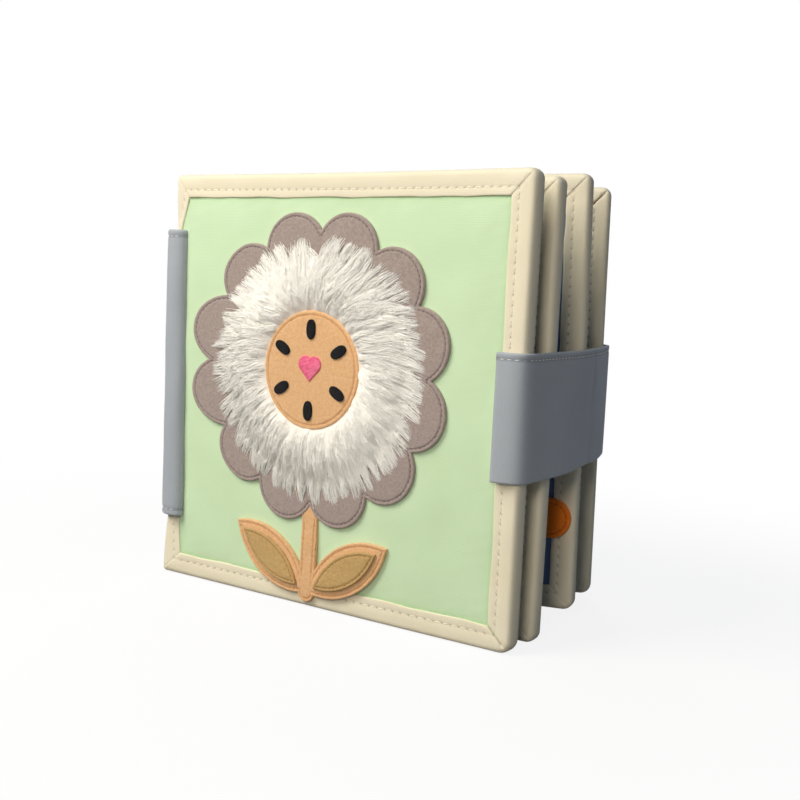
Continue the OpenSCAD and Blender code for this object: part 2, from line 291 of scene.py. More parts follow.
def dye(tree, where, dark, light, patch_m, detail=4.0):
    """Colour that drifts between two sRGB colours over patches of about patch_m."""
    noise = node(tree, "ShaderNodeTexNoise", [(where, "Vector")], in_Scale=1 / patch_m, in_Detail=detail)
    ramp = node(tree, "ShaderNodeValToRGB", [(noise.outputs["Fac"], "Fac")])
    ramp.color_ramp.elements[0].position = 0.3
    ramp.color_ramp.elements[0].color = linear(dark)
    ramp.color_ramp.elements[1].position = 0.7
    ramp.color_ramp.elements[1].color = linear(light)
    return ramp.outputs["Color"]


def shaded(tree, colour, painted_shade_mark, dark):
    """Painted shade: colour mixed towards a darker sRGB colour by the mesh's mark of that name."""
    share = node(tree, "ShaderNodeAttribute", attribute_name=painted_shade_mark).outputs["Fac"]
    mixed = node(tree, "ShaderNodeMix", [(share, 0), (colour, 6)], data_type="RGBA", in_7=linear(dark))
    return mixed.outputs[2]


def crossed_threads(tree, where, spacing_m, slant):
    """Height of a weave: two sine waves, slanted to either side by the slant, multiplied. The Wave
    texture has one crest every 2 pi / 20 of a unit of its scale."""
    found = []
    for turn, way in ((slant, "Y"), (-slant, "Y" if slant else "X")):
        turned = node(tree, "ShaderNodeMapping", [(where, "Vector")], in_Rotation=(0, 0, turn))
        wave = node(tree, "ShaderNodeTexWave", [(turned.outputs[0], "Vector")], bands_direction=way,
                    in_Scale=math.pi / (10 * spacing_m), in_Distortion=0.3)
        found.append(wave.outputs["Fac"])
    return node(tree, "ShaderNodeMath", [(found[0], 0), (found[1], 1)], operation="MULTIPLY").outputs[0]


# Real cotton threads lie 0.3 mm apart, too fine for the picture. They are drawn at 0.7 mm, with
# slubs, the thick places in hand-spun looking yarn, as a fine mottle of about 1 mm.
COTTON_THREAD_M = 0.0007
SLUB_M = 0.001


def cotton(name, dark, light, seam=None, on_uv=True):
    """Plain-woven cotton between two close colours: matt, with a faint fuzz at grazing angles.
    Where seam is given, the mark called seam mixes in that colour as painted shade: in the
    tape's creases, slits and needle holes, and along the panels' edges under the tape."""
    material, tree, shader = cloth(name, 0.85, 0.1)
    coordinates = node(tree, "ShaderNodeTexCoord")
    where = coordinates.outputs["UV" if on_uv else "Object"]
    colour = dye(tree, where, dark, light, 0.035)
    if seam:
        colour = shaded(tree, colour, "seam", seam)
    tree.links.new(colour, shader.inputs["Base Color"])
    threads = crossed_threads(tree, where, COTTON_THREAD_M, 0.0)
    slubs = node(tree, "ShaderNodeTexNoise", [(where, "Vector")], in_Scale=1 / SLUB_M, in_Detail=3.0)
    height = node(tree, "ShaderNodeMath", [(threads, 0), (slubs.outputs["Fac"], 1)], operation="ADD")
    roughen(tree, shader, height.outputs[0], 0.22, 0.0002)
    return material


# The third colour of each is painted shade along the panel's edge under the tape's lip.
green_cotton = cotton("Pale green plain cotton", "#D2EBC0", "#D7F0C7", seam="#8DBB70")
# Painted shade: the panels that face into the gaps between pages get a dark slate, the tone of the shade in
# those gaps; their own colour is not known.
gap_shade_slate_cotton = cotton("Slate cotton for shaded gaps", "#5D6773", "#616C78", seam="#3C434B")
sky_cotton = cotton("Dull blue plain cotton", "#677FA9", "#6E87B2", seam="#3D4B68")
brick_cotton = cotton("Brick plain cotton", "#A8492C", "#B15233", seam="#6E2E1C")


def panel_depth(page, side, x, z):
    """Depth of a panel's outer surface, 0 at the tape's face and negative outside it. It lies
    under the tape, swells with the distance d from the seam as 1 - exp(-d / 9), and has broad
    soft waves and short puckers that die out away from the seam."""
    d = np.minimum(np.minimum(x, PAGE_W - x), np.minimum(z, PAGE_H - z)) - TAPE_W
    d = np.clip(d, 0, None)
    full = 1 - np.exp(-d / 9.0)
    seed = 11 + 10 * page + side
    waves = unevenness(x, z, seed, longest=75.0, height=0.16)
    waves = waves + unevenness(x, z * 0.35, seed + 1, longest=38.0, height=0.08)
    puckers = unevenness(x, z, seed + 2, longest=13.0, height=0.10) * np.exp(-d / 7.0) * smooth(0, 2, d)
    return PAD_EDGE - PAD_PUFF * full - (waves * full + puckers), d


def pad(page, side, material, nodes):
    """Closed pad of a page: side 0 is the front panel with the wadding, side 1 the back panel.
    Each ring runs up the outside of the pad and back down its inside. The cover's own face has the
    finest grid."""
    count = 130 if (page, side) == (0, 0) else 70
    x = np.linspace(PAD_INSET, PAGE_W - PAD_INSET, count)[:, None]
    z_out = np.linspace(PAD_INSET, PAGE_H - PAD_INSET, count)[None, :]
    z_in = np.linspace(PAGE_H - PAD_INSET - 1, PAD_INSET + 1, 10)[None, :]
    outer, from_seam = panel_depth(page, side, x, z_out)
    inner = np.full((count, 10), PAGE_T - 2 * TAPE_T if side == 0 else 2 * TAPE_T)
    y = np.concatenate([outer, inner], 1)
    if side == 1:
        y = PAGE_T - y
    z = np.concatenate([z_out, z_in], 1)
    # Painted shade along the outer face's edge, under the tape's lip, fading within a few millimetres of the
    # seam.
    under = np.zeros(y.shape)
    under[:, :count] = 0.5 * np.exp(-from_seam / 1.0)
    length = np.append(x[:, 0], x[-1, 0]) * MM
    height = np.append(z[0], z[0, 0]) * MM
    name = f"{PAGES[page]}_{'front' if side == 0 else 'back'}_pad"
    piece = skin(name, lay(page, x, y, z), material, uv=(length, height), marks={"seam": under})
    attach(piece, PAGE_BODY[page])
    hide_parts(*nodes)


pad(0, 0, green_cotton, ["front_cover_panel", "front_cover_padding"])
pad(0, 1, gap_shade_slate_cotton, ["front_cover_lining"])
pad(1, 0, gap_shade_slate_cotton, ["first_leaf_front_panel", "first_leaf_padding"])
pad(1, 1, gap_shade_slate_cotton, ["first_leaf_back_panel"])
pad(2, 0, sky_cotton, ["second_leaf_front_panel", "second_leaf_padding"])
pad(2, 1, gap_shade_slate_cotton, ["second_leaf_back_panel"])
pad(3, 0, brick_cotton, ["back_cover_lining", "back_cover_padding"])
pad(3, 1, green_cotton, ["back_cover_panel"])

# Edging tape
# Ecru cotton bias tape, folded over each page's edge and sewn through with one row of stitches.
# It is mitred at the corners, where the upper fold leaves a step and a crease.
# Corner radii of each page, from its lower spine corner round by the lower fore-edge corner.
CORNER_R = [(2.2, 6.0, 4.6, 2.6), (4.5, 4.5, 4.0, 4.5), (4.5, 5.0, 4.0, 4.5), (4.5, 5.0, 4.4, 4.5)]
MITRE_R = 0.4
STITCH_PITCH = 4.3
SEAM_INSET = 7.6
CORNER_STEPS = 16
SLIT = 0.6
STITCHES = round((PAGE_W - 2 * SEAM_INSET) / STITCH_PITCH)
# Its third colour is the painted shade in the mitres' creases and slits and in the needle holes.
ecru_tape = cotton("Ecru cotton bias tape", "#F0E6C9", "#F4EBD1", seam="#6E5238")


def tape_section():
    """Section of the tape as (distance in from the page's edge, depth from the front face): the
    outside from the front lip over the round edge to the back lip, then the inside back."""
    half = PAGE_T / 2
    lip = [(11.0, 0.93), (11.2, 0.4), (11.1, 0.17), (10.8, 0.05)]
    seam = [(10.3, 0.0), (8.6, 0.0), (8.0, 0.05), (7.6, 0.12), (7.2, 0.05), (6.6, -0.02)]
    swell = [(5.0, -0.12)]
    a = np.linspace(0.06, 1, 7)[:-1] * math.pi / 2
    roll = np.stack([3.2 - 3.2 * np.sin(a) ** 0.74, half - (half + 0.16) * np.cos(a) ** 0.64], 1)
    front = np.concatenate([lip, seam, swell, roll])
    inside = np.array([(10.6, 1.0), (3.0, 1.1), (1.2, half)])
    mirrored = [1, -1]
    outer = np.concatenate([front, [(0.0, half)], front[::-1] * mirrored + [0, PAGE_T]])
    inner = np.concatenate([inside, (inside[:-1] * mirrored + [0, PAGE_T])[::-1]])[::-1]
    return np.concatenate([outer, inner]), len(outer)


def tape_path(page, d, side_steps):
    """Plan points of the line that runs at distance d inside a page's edge: along each side from
    corner centre to corner centre, then CORNER_STEPS points of an arc round the corner. d is an
    array, and the result is (step, d, 2)."""
    a = (np.linspace(0, 90, CORNER_STEPS + 2)[1:-1, None] - 90) * math.pi / 180
    sides = []
    for turns in range(4):
        begin = np.maximum(CORNER_R[page][turns], d + MITRE_R)
        end = np.maximum(CORNER_R[page][(turns + 1) % 4], d + MITRE_R)
        along = begin + (PAGE_W - begin - end) * side_steps[:, None]
        run = np.stack([along, np.broadcast_to(d, along.shape)], -1)
        arc = np.stack([PAGE_W - end + (end - d) * np.cos(a), end + (end - d) * np.sin(a)], -1)
        side = np.concatenate([run, arc])
        for _ in range(turns):
            side = np.stack([PAGE_W - side[..., 1], side[..., 0]], -1)
        sides.append(side)
    return np.concatenate(sides)


def tape_swell(page, x, z):
    """Slow rise and fall of a page's tape, which its stitches follow."""
    return unevenness(x, z, seed=70 + page, longest=30.0, height=0.10)


def tape(page):
    """Edging tape of a page: its section carried round the page, with the mitres' creases and
    steps, a dimple at each needle hole, soft puffs between them and a wavering inner edge. One
    mitre gapes on each cover: the front's lower one and the back's upper one at the fore-edge.
    Points stand on every needle hole, close to it on both sides, between holes and near corners."""
    section, outside = tape_section()
    d, depth = section[:, 0], section[:, 1]
    round_hole = np.array([0, 0.12, 0.5, 0.88])
    on_holes = np.append(np.arange(STITCHES)[:, None] + round_hole, STITCHES) / STITCHES
    near_corner = np.array([0.35, 0.7, 1.6, 2.2]) / PAGE_W
    side_steps = np.unique(np.round(np.concatenate([on_holes, near_corner, 1 - near_corner]), 6))
    plan = tape_path(page, d, side_steps)
    x, z = plan[..., 0], plan[..., 1]
    from_side = np.minimum(x, PAGE_W - x)
    from_end = np.minimum(z, PAGE_H - z)
    fold = (from_side - from_end) / math.sqrt(2)
    shell = np.arange(len(section)) < outside
    outward = np.where(depth < PAGE_T / 2, -1.0, 1.0) * shell
    hole = (1 + np.cos(2 * math.pi * side_steps * STITCHES)) / 2
    hole = np.tile(np.concatenate([hole, np.zeros(CORNER_STEPS)]), 4)[:, None]
    gape = SLIT * (x > PAGE_W / 2) * (z < PAGE_H / 2 if page == 0 else z > PAGE_H / 2) * (page in (0, 3))
    step = 0.24 * smooth(0, 0.7, fold) * (1 - smooth(2, 11, fold)) - (0.18 + gape) * bell(fold, 0.4)
    lift = step * smooth(0.5, 3, d) * (fold > -4)
    lift = lift - 0.12 * bell(d - SEAM_INSET, 0.7) * hole**3 + 0.03 * bell(d - 9.4, 1.2) * (1 - hole)
    lift = lift + tape_swell(page, x, z) * smooth(1, 4, d)
    waver = unevenness(x, z, seed=90 + page, longest=48.0, height=0.22) * smooth(8.5, 11, d)
    x = x + waver * np.sign(PAGE_W / 2 - x) * smooth(-1, 0, from_end - from_side)
    z = z + waver * np.sign(PAGE_H / 2 - z) * smooth(-1, 0, from_side - from_end)
    # Painted shade: darker along the mitres' creases, much darker in the gaping slits, and a dark dot at each
    # needle hole.
    crease_shade = (0.08 + gape) * bell(fold, 0.26) * smooth(2.5, 4, d) * (fold > -4)
    seam = np.clip((crease_shade + 0.75 * bell(d - SEAM_INSET, 0.36) * hole**12) * shell, 0, 1)
    round_page = length_along(plan[:, outside // 2])
    round_tape = length_along(section)
    length = np.append(round_page, round_page[-1] + 1) * MM
    width = np.append(round_tape, round_tape[-1] + 1) * MM
    piece = skin(f"{PAGES[page]}_tape", lay(page, x, depth + outward * lift, z), ecru_tape,
                 joined=True, uv=(length, width), marks={"seam": seam})
    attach(piece, PAGE_BODY[page])
    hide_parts(f"{PAGES[page]}_binding")
    return piece


# Thread
# Cream polyester thread, about 0.5 mm thick. Each stitch is a short bead that dives into a needle
# hole at both ends.
cream_thread, tree, shader = cloth("Cream sewing thread", 0.6, 0.1, 0.4)
shader.inputs["Base Color"].default_value = linear("#FAF3DF")


def stitches(name, start, end, out, material, radius=0.24, rise=0.16):
    """One bead for each pair of start and end points, bowed along out by rise at its middle. A
    bead is five rings of four points, thin at both ends and closed there."""
    run = end - start
    long = np.linalg.norm(run, axis=1)[:, None]
    run = run / long
    side = unit(np.cross(run, out))
    t = np.linspace(0, 1, 5)
    width = radius * np.array([0.35, 0.85, 1.0, 0.85, 0.35])
    bow = (rise + 0.18) * np.sin(math.pi * t) - 0.18
    a = np.arange(4) * math.pi / 2
    middle = start[:, None] + run[:, None] * (long * t)[..., None] + out[:, None] * bow[:, None]
    ring = side[:, None, :] * np.cos(a)[:, None] + out[:, None, :] * np.sin(a)[:, None]
    points = middle[:, :, None] + ring[:, None] * width[:, None, None]
    ends = np.array([[0, 1, 2, 3], [19, 18, 17, 16]])
    first = (np.arange(len(start)) * 20)[:, None, None]
    faces = (np.concatenate([tube_walls(5, 4), ends]) + first).reshape(-1, 4).tolist()
    return as_object(name, points.reshape(-1, 3), faces, material)


def face_out(page, side):
    """Direction out of a page's front face for side 0, or its back face for side 1."""
    return in_book(page, 0, -1 if side == 0 else 1, 0) - in_book(page, 0, 0, 0)


def tape_stitches(page):
    """Stitch rows on both faces of a page, in the tape's seam, as far apart as its needle holes."""
    first = SEAM_INSET + MITRE_R
    holes = first + (PAGE_W - 2 * first) * np.arange(STITCHES + 1) / STITCHES
    gap = 0.13 * (holes[1] - holes[0])
    rows = [np.stack([np.stack([holes[:-1] + gap, holes[1:] - gap], 1),
                      np.full((STITCHES, 2), SEAM_INSET)], -1)]
    for _ in range(3):
        rows.append(np.stack([PAGE_W - rows[-1][..., 1], rows[-1][..., 0]], -1))
    plan = np.concatenate(rows)
    x, z = plan[..., 0], plan[..., 1]
    seam_depth = 0.2 - tape_swell(page, x, z)
    faces = [lay(page, x, seam_depth, z), lay(page, x, PAGE_T - seam_depth, z)]
    out = np.concatenate([np.broadcast_to(face_out(page, side), (len(x), 3)) for side in (0, 1)])
    both = np.concatenate(faces)
    piece = stitches(f"{PAGES[page]}_tape_stitches", both[:, 0], both[:, 1], out, cream_thread)
    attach(piece, PAGE_BODY[page])
    return piece


for page in range(4):
    folded_tape = tape(page)
    thread = tape_stitches(page)

# Hinge tapes and hook and loop patches
# Short cotton tapes sew each leaf into the spine band. A loop patch on the cover and a hook patch
# under the strap's end hold the book shut.
ecru_plain = cotton("Ecru cotton hinge tape", "#E2D3B2", "#EADCBC", on_uv=False)
dress(("first_leaf_hinge_tape", "second_leaf_hinge_tape"), ecru_plain)
# Hooks and loops stand about 1 mm apart and give a soft, grainy, nearly matt face.
HOOK_SPACING_M = 0.001
hook_tape, tree, shader = cloth("White nylon hook and loop tape", 0.7, 0.3, 0.4)
where = node(tree, "ShaderNodeTexCoord").outputs["Object"]
tree.links.new(dye(tree, where, "#DEDACE", "#F2EFE6", 2 * HOOK_SPACING_M), shader.inputs["Base Color"])
pile = node(tree, "ShaderNodeTexVoronoi", [(where, "Vector")], in_Scale=1 / HOOK_SPACING_M)
roughen(tree, shader, pile.outputs["Distance"], 0.8, 0.0006)
dress(("strap_hook_patch", "cover_loop_patch"), hook_tape)

# Spine band
# A strip of grey-blue cotton twill, folded double and hemmed at its top and bottom. It is sewn to
# the outer face of each cover and wraps the spine in one plump roll.
BAND_T = 2.0
BAND_HEM = 3.2
BAND_STITCH_PITCH = 3.0
HEM_THREAD_R = 0.17
SPINE_X = -5.8
SPLIT_Y = 18.0
BAND_STEPS = 130
STRIP_ROWS = 64
# The twill's slanting ribs are about 0.8 mm apart and just show in the picture.
TWILL_RIB_M = 0.0008
blue_twill, tree, shader = cloth("Grey-blue birdseye twill", 0.72, 0.15, 0.3)
where = node(tree, "ShaderNodeTexCoord").outputs["UV"]
birdseye = crossed_threads(tree, where, TWILL_RIB_M, 0.42)
colour = dye(tree, where, "#A2A8AF", "#A9AFB6", 0.03)
ribbed = node(tree, "ShaderNodeMix", [(birdseye, 0), (colour, 6)], data_type="RGBA", in_7=linear("#B9BFC6"))
# Painted shade along the hems' stitched lines, on the strips' outer faces.
colour = shaded(tree, ribbed.outputs[2], "seam", "#66707E")
tree.links.new(colour, shader.inputs["Base Color"])
roughen(tree, shader, birdseye, 0.35, 0.0002)


def ruled(foot, top, z):
    """Plan curves of a strip at its heights z: straight lines from its foot curve to its top one."""
    share = (z - z.min()) / (z.max() - z.min())
    return foot[:, None] * (1 - share[:, None]) + top[:, None] * share[:, None]


def curve_through(knots, count):
    """Plan curve through the knots, a uniform Catmull-Rom spline sampled evenly by its length, and
    the length at each of its count points."""
    k = np.asarray(knots, float)
    k = np.concatenate([[2 * k[0] - k[1]], k, [2 * k[-1] - k[-2]]])
    t = np.linspace(0, 1, 24, endpoint=False)[:, None]
    parts = []
    for a, b, c, d in zip(k[:-3], k[1:-2], k[2:-1], k[3:]):
        bend = (2 * a - 5 * b + 4 * c - d) * t**2 + (3 * b - a - 3 * c + d) * t**3
        parts.append((2 * b + (c - a) * t + bend) / 2)
    fine = np.concatenate([*parts, k[-2:-1]])
    length = length_along(fine)
    even = np.linspace(0, length[-1], count)
    return np.stack([np.interp(even, length, fine[:, i]) for i in (0, 1)], 1), even


def outward_of(path):
    """Unit vectors to the right of plan paths, the outer side of a wrap that turns left."""
    run = unit(np.gradient(path, axis=0))
    return np.stack([run[..., 1], -run[..., 0]], -1)


def strip_heights(low, high):
    """Heights of an upright strip's columns: up its outer face, closer together at the hems, and
    back down its inner face."""
    up = low + (high - low) * (0.5 - 0.5 * np.cos(np.linspace(0, math.pi, STRIP_ROWS)))
    return np.concatenate([up, up[::-1][1:-1:4]])


def upright_strip(name, path, out, even, z, thickness, relief, seam, round_start, round_end):
    """Folded strip that stands on edge along plan paths, one per height. Its section is a flat loop
    with round hems, relief pushes it outwards, and an end marked round closes over 1.2 mm."""
    outer = np.arange(len(z)) < STRIP_ROWS
    from_hem = np.clip(np.minimum(z - z[0], z[STRIP_ROWS - 1] - z) / (thickness / 2), 0, 1)
    hem = np.sqrt(1 - (1 - from_hem) ** 2)
    from_start = np.clip(even / 1.2, 0, 1) if round_start else np.ones(len(even))
    from_end = np.clip((even[-1] - even) / 1.2, 0, 1) if round_end else np.ones(len(even))
    close = np.sqrt(np.clip(1 - (1 - np.minimum(from_start, from_end)) ** 2, 0.03, 1))
    offset = relief + np.where(outer, 1, -1) * hem * thickness / 2 * close[:, None]
    plan = path + out * offset[..., None]
    rings = np.concatenate([plan, np.broadcast_to(z[:, None], (*offset.shape, 1))], -1)
    lengths = (np.append(even, even[-1]) * MM, np.append(z, z[0]) * MM)
    # seam is the painted shade along the hems, kept to the outer face.
    piece = skin(name, rings, blue_twill, uv=lengths, marks={"seam": seam * outer})
    return piece


def strip_seam(name, path, out, even, relief, z, heights, thickness, pitch):
    """Rows of stitches along an upright strip's outer face, one row at each of the heights."""
    count = int((even[-1] - 3) / pitch)
    holes = np.linspace(1.5, even[-1] - 1.5, count + 1)
    starts, ends, outs = [], [], []
    for height in heights:
        column = int(np.argmin(np.abs(z[:STRIP_ROWS] - height)))
        line = path[:, column] + out[:, column] * (relief[:, column] + thickness / 2 + 0.02)[:, None]
        for places, found in ((holes[:-1] + 0.38, starts), (holes[1:] - 0.38, ends)):
            spot = [np.interp(places, even, line[:, i]) for i in (0, 1)]
            found.append(np.stack([*spot, np.full(count, height)], 1))
        middle = (holes[:-1] + holes[1:]) / 2
        away = [np.interp(middle, even, out[:, column, i]) for i in (0, 1)]
        outs.append(np.stack([*away, 0 * middle], 1))
    thread = stitches(name, np.concatenate(starts), np.concatenate(ends), np.concatenate(outs), cream_thread,
                      radius=HEM_THREAD_R)
    return thread


def back_face(x, out):
    """Plan point on the back cover's outer face, out millimetres proud of it."""
    return in_plan(3, x, PAGE_T + out)


# On the front cover the band is drawn tighter, and reaches less far at its top than at its foot.
band_back = [back_face(10.6, -0.3), back_face(9.8, 1.9), back_face(6.8, 3.5), back_face(2.5, 3.9),
             (-4.4, 39.0), (-5.6, 34.0), (-5.9, 27.5), (SPINE_X, 22.0), (SPINE_X, SPLIT_Y), (SPINE_X, 14.0)]
band_foot = [(-5.4, 9.0), (-4.3, 5.0), (-2.9, 1.6), (-0.2, -1.7), (3.6, -3.2), (7.2, -2.9), (9.4, -1.4),
             (9.9, 1.2)]
band_top = [(-5.7, 9.0), (-5.2, 5.0), (-3.9, 0.9), (-0.9, -2.2), (2.6, -3.3), (5.6, -2.9), (7.5, -1.4),
            (8.0, 1.2)]
foot_curve, _ = curve_through(band_back + band_foot, BAND_STEPS)
top_curve, band_even = curve_through(band_back + band_top, BAND_STEPS)
band_z = strip_heights(BAND_LOW, BAND_HIGH)
band_path = ruled(foot_curve, top_curve, band_z)
band_out = outward_of(band_path)
hem_heights = (BAND_LOW + BAND_HEM, BAND_HIGH - BAND_HEM)
band_hems = bell(band_z - hem_heights[0], 0.8) + bell(band_z - hem_heights[1], 0.8)
band_relief = unevenness(band_even[:, None], band_z * 0.4, seed=51, longest=26.0, height=0.16)
band_relief = band_relief - 0.25 * band_hems
split = int(np.argmin(np.hypot(*(top_curve - (SPINE_X, SPLIT_Y)).T)))


def band_half(name, rows, cover):
    """One half of the band with its two rows of hem stitches. It runs from the middle of the spine,
    where the leaves hold it, to the cover that it is sewn to, and its end on that cover is rounded."""
    path, out, relief = band_path[rows], band_out[rows], band_relief[rows]
    even = band_even[rows] - band_even[rows][0]
    at_back = cover == "back_cover"
    # Painted shade along the band's hems.
    piece = upright_strip(name, path, out, even, band_z, BAND_T, relief,
                          0.5 * np.broadcast_to(band_hems, relief.shape), at_back, not at_back)
    thread = strip_seam(f"{name}_stitches", path, out, even, relief, band_z, hem_heights, BAND_T,
                        BAND_STITCH_PITCH)
    for half in (piece, thread):
        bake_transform(half)
    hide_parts("spine_band")


band_half("spine_band_back_half", slice(0, split + 1), "back_cover")
band_half("spine_band_front_half", slice(split, BAND_STEPS), "front_cover")

# Closure strap
# The same twill, folded double and hemmed along its top. It is sewn to the back cover's outer
# face, wraps the four fore-edges and lies on the front cover, where hook tape holds its end.
STRAP_HIGH = 126.5
STRAP_T = 1.8
STRAP_HEM = 2.8
STRAP_STITCH_PITCH = 3.2
STRAP_REACH = 4.7
STRAP_STEPS = 150
FORE_X = 196.5
STRAP_CREASE = (194.5, 75.0)


def fore_edge(page, depth, turn_deg):
    """Plan point of the strap's middle where it rounds a page's fore-edge: the rounding's centre
    at that depth, and from it the reach in the direction of the turn from straight out."""
    a = math.radians(turn_deg) + PAGE_ANGLE[page]
    return in_plan(page, FORE_X, depth) + STRAP_REACH * np.array([math.cos(a), math.sin(a)])


# It turns the front cover's fore-edge in a wider curve at its foot than at its top.
strap_foot = [(188.0, -3.0), (190.6, -2.95), (194.4, -2.5), (198.2, -1.3), (200.7, 1.3)]
strap_top = [(188.0, -3.0), (192.0, -3.05), (196.2, -3.0), fore_edge(0, 1.7, -42), fore_edge(0, 2.6, -5)]
strap_rest = [fore_edge(0, 6.5, 2), fore_edge(1, 3.0, 0), fore_edge(1, 6.0, 3), (199.4, 48.0),
              fore_edge(2, 3.0, -2), fore_edge(2, 6.2, 3), (190.3, 92.0), fore_edge(3, 2.8, 0),
              fore_edge(3, 5.0, 20), fore_edge(3, 5.5, 60), back_face(194.5, 1.25), back_face(180, 1.2),
              back_face(160, 1.2), back_face(140.0, 1.2)]
strap_foot_curve, _ = curve_through(strap_foot + strap_rest, STRAP_STEPS)
strap_curve, strap_even = curve_through(strap_top + strap_rest, STRAP_STEPS)
strap_z = strip_heights(STRAP_LOW, STRAP_HIGH)
strap_path = ruled(strap_foot_curve, strap_curve, strap_z)
strap_out = outward_of(strap_path)
strap_hem = bell(strap_z - STRAP_HIGH + STRAP_HEM, 0.8)
crease_at = strap_even[int(np.argmin(np.hypot(*(strap_curve - STRAP_CREASE).T)))]
slack = smooth(16, 40, strap_even) * (1 - smooth(125, 140, strap_even))
strap_relief = unevenness(strap_even[:, None], strap_z * 0.5, seed=61, longest=60.0, height=0.35)
strap_relief = strap_relief * slack[:, None] - 0.22 * strap_hem
strap_relief = strap_relief - 0.5 * bell(strap_even[:, None] - crease_at, 2.0)
# Painted shade along the strap's hem.
strap_hem_shade = 0.5 * np.broadcast_to(strap_hem, strap_relief.shape)
strap = upright_strip("closure_strap_cloth", strap_path, strap_out, strap_even, strap_z, STRAP_T,
                      strap_relief, strap_hem_shade, round_start=True, round_end=True)
strap_thread = strip_seam("closure_strap_stitches", strap_path, strap_out, strap_even, strap_relief, strap_z,
                          (STRAP_HIGH - STRAP_HEM,), STRAP_T, STRAP_STITCH_PITCH)
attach(strap, "back_cover")
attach(strap_thread, "back_cover")
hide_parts("closure_strap")

# Flower petals
# One piece of mauve-grey wool felt, cut to a ring of twelve round petals and sewn down with a row
# of stitches just inside its edge.
FLOWER = (93.0, 111.0)
PETALS = 12
PETAL_RING_R = 56.0
PETAL_R = 17.0
FELT_T = 2.0
FELT_STITCH_PITCH = 2.4
# Wool fibres lie in every direction and show as clumps of about 1.2 mm, in two close tones.
FELT_CLUMP_M = 0.0012


def felt_material(name, dark, light, seam, sheen=0.35):
    """Pressed wool felt: matt and fuzzy, mottled by its fibres, with painted shade in its stitched groove."""
    material, tree, shader = cloth(name, 0.95, sheen, 0.15)
    where = node(tree, "ShaderNodeTexCoord").outputs["Object"]
    colour = dye(tree, where, dark, light, FELT_CLUMP_M, 6.0)
    tree.links.new(shaded(tree, colour, "seam", seam), shader.inputs["Base Color"])
    clumps = node(tree, "ShaderNodeTexNoise", [(where, "Vector")], in_Scale=1 / FELT_CLUMP_M, in_Detail=8.0,
                  in_Roughness=0.65, in_Distortion=1.5)
    roughen(tree, shader, clumps.outputs["Fac"], 0.7, 0.0006)
    return material


def plain_thread(name, code):
    """Polyester thread of one colour."""
    material, _, shader = cloth(name, 0.6, 0.1, 0.4)
    shader.inputs["Base Color"].default_value = linear(code)
    return material


grey_felt = felt_material("Mauve-grey wool felt", "#A19089", "#B6A59C", "#6B5C58")
grey_thread = plain_thread("Grey sewing thread", "#5C5158")


def felt_piece(name, page, middle, outline, lie, thick, material, turned=0.0, seam=1.8, dome=0.35, steps=360):
    """Felt cut to an outline and laid on a page's front. outline gives the distance from the middle
    to the edge for an array of directions, and lie the depth of the felt's back at (x, z). Column
    by column a ring runs out over the face, which swells away from the stitched groove, round the
    cut edge and back under. The distance in from the edge is that along the radius times the
    cosine of the angle between the radius and the edge's normal."""
    a = np.arange(steps) * 2 * math.pi / steps
    edge = outline(a)
    slope = (np.roll(edge, -1) - np.roll(edge, 1)) / (2 * (a[1] - a[0]))
    lean = edge / np.hypot(edge, slope)
    rim = min(3.4, 0.55 * edge.min())
    inward = np.concatenate([np.arange(rim, 0.6, -0.26)[1:], [0.5, 0.25, 0.08, 0, 0, 0.05, 0.4]])
    round_cut = [1, 0.96, 0.86, 0.68, 0.35, 0.08, 0]
    share = np.concatenate([np.ones(11 + len(inward) - len(round_cut)), round_cut, np.zeros(3)])
    core = (edge - rim / lean)[:, None]
    face = core * np.append(0.003, np.linspace(0.1, 1, 10))
    r = np.concatenate([face, edge[:, None] - inward / lean[:, None], core * [1, 0.5, 0.003]], 1)
    from_edge = (edge[:, None] - r) * lean[:, None]
    groove = bell(from_edge - seam, 0.45) if seam else np.zeros(r.shape)
    x = middle[0] + r * np.cos(a + turned)[:, None]
    z = middle[1] + r * np.sin(a + turned)[:, None]
    top = thick + dome * (1 - np.exp(-from_edge / 4)) - 0.3 * groove
    top = top + unevenness(x, z, seed=5, longest=9.0, height=0.06)
    # Painted shade in the stitched groove.
    painted_shade_mark = 0.35 * groove * (share > 0.5)
    piece = skin(name, lay(page, x, lie(x, z) - share * top, z), material, joined=True, marks={"seam": painted_shade_mark})
    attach(piece, PAGE_BODY[page])
    return piece


def felt_seam(name, page, middle, outline, lie, thick, material, turned, seam, radius):
    """Stitches along the felt's groove, evenly spaced by the length of the groove."""
    a = np.linspace(0, 2 * math.pi, 1441)
    edge = outline(a)
    lean = edge / np.hypot(edge, np.gradient(edge, a))
    r = edge - seam / lean
    line = np.stack([r * np.cos(a + turned), r * np.sin(a + turned)], 1)
    length = length_along(line)
    count = round(length[-1] / FELT_STITCH_PITCH)
    holes = np.linspace(0, length[-1], count + 1)
    gap = 0.14 * length[-1] / count
    ends = []
    for places in (holes[:-1] + gap, holes[1:] - gap):
        x = middle[0] + np.interp(places, length, line[:, 0])
        z = middle[1] + np.interp(places, length, line[:, 1])
        ends.append(lay(page, x, lie(x, z) - thick + 0.25, z))
    out = np.broadcast_to(face_out(page, 0), ends[0].shape)
    piece = stitches(name, ends[0], ends[1], out, material, radius=radius)
    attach(piece, PAGE_BODY[page])
    return piece


def sewn_felt(names, node_name, slot, shape, felt, thread, turned=0.0, seam=1.8, radius=0.21, **cut):
    """Felt and the stitches that sew it down, which stand for one solid of the part. names are the
    two pieces' names, and shape is what both are made from: page, middle, outline, lie, thickness."""
    piece = felt_piece(names[0], *shape, felt, turned=turned, seam=seam, **cut)
    sewing = felt_seam(names[1], *shape, thread, turned=turned, seam=seam, radius=radius)
    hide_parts(node_name)
    return piece, sewing


